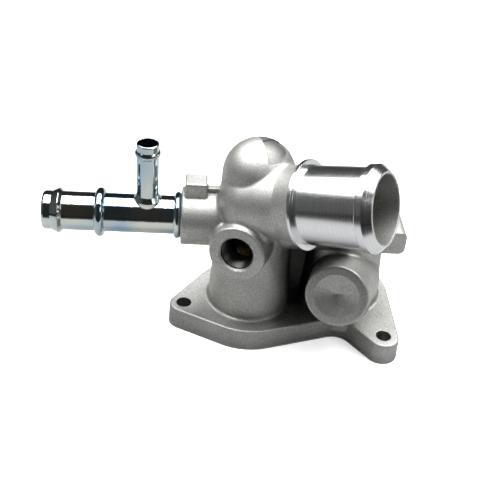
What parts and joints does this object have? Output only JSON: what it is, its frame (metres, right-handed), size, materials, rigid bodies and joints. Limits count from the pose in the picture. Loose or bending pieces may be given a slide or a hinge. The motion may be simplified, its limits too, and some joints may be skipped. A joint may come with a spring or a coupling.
{
  "type": "thermostat housing",
  "caption": "Cast aluminium engine thermostat housing with a bolted flange, angled hose neck, steel hose pipe with a branch, sensor port and a wax thermostat inside.",
  "frame": {"origin": "on the left column's axis, at the flange's mating face", "axes": "+Z away from the engine, along the columns; +X along the cross tube, away from the hose pipe; -Y towards the sensor port"},
  "size_m": [0.1691, 0.0954, 0.1053],
  "materials": {
    "cast_aluminium": "as cast and bead blasted, hose neck turned bright",
    "zinc_plated_steel": "bright blue passivated zinc plate",
    "stainless_steel": "pressed stainless sheet",
    "spring_steel": "oiled spring wire",
    "brass": "turned brass",
    "black_rubber": "moulded rubber"
  },
  "bodies": {
    "housing": {"cast_housing": "cast_aluminium", "hose_pipe": "zinc_plated_steel", "branch_tube": "zinc_plated_steel", "seat_plate": "stainless_steel", "seat_seal": "black_rubber", "retaining_ring": "spring_steel", "top_bridge": "stainless_steel", "piston": "stainless_steel", "lower_cage": "stainless_steel", "main_spring": "spring_steel", "jiggle_pin": "brass"},
    "valve_group": {"main_valve": "stainless_steel", "wax_capsule": "brass"}
  },
  "joints": [
    {"name": "valve_lift", "type": "slide", "parent": "housing", "child": "valve_group", "axis": [0, 0, -1], "range_m": [0, 0.008], "stiffness_N_per_m": 3000, "springref_m": -0.005, "deforming": ["main_spring"]}
  ]
}
